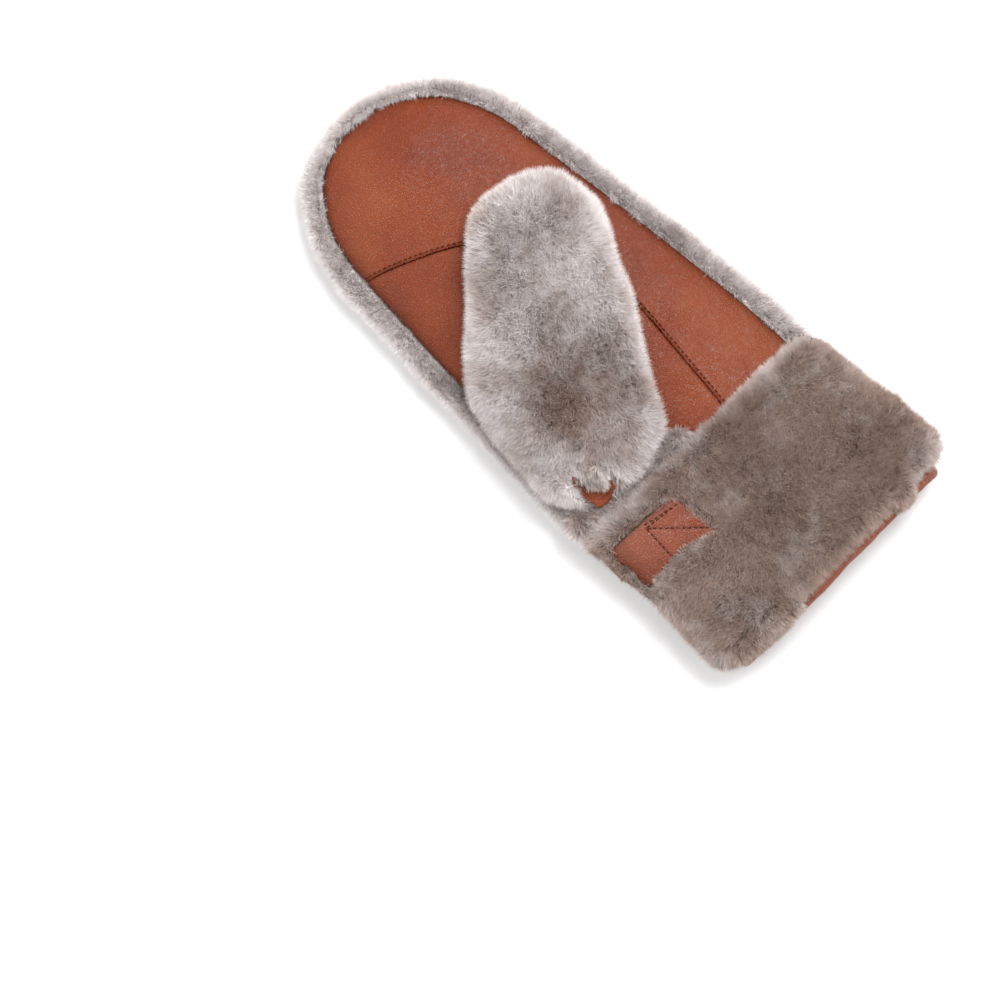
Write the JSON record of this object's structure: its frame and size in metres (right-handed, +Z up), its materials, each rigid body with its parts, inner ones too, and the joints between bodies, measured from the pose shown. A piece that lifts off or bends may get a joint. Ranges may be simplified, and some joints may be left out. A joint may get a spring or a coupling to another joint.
{
  "type": "fur mitten",
  "caption": "Shearling mitten lying palm up: fur back, thumb and cuff, leather palm in panels, tab, and a strap with a snap across the back.",
  "frame": {"origin": "middle of the bounding box, on the surface that the mitten lies on", "axes": "+Y to the fingertips, -X the thumb side, +Z up from the surface, out of the palm"},
  "size_m": [0.1574, 0.3082, 0.0613],
  "materials": {
    "fur": "soft dense pile",
    "leather": "fine grain, soft sheen",
    "facing": "thin gathered leather, soft sheen",
    "snap_metal": "polished"
  },
  "bodies": {
    "root": {"back_fur": "fur", "thumb_fur": "fur", "cuff_fur": "fur", "palm_panel": "leather", "thumb_panel": "leather", "palm_tab": "leather", "back_strap": "leather", "counter_tab": "leather", "cuff_binding": "leather", "mouth_facing": "facing", "snap_cap": "snap_metal"}
  },
  "joints": []
}
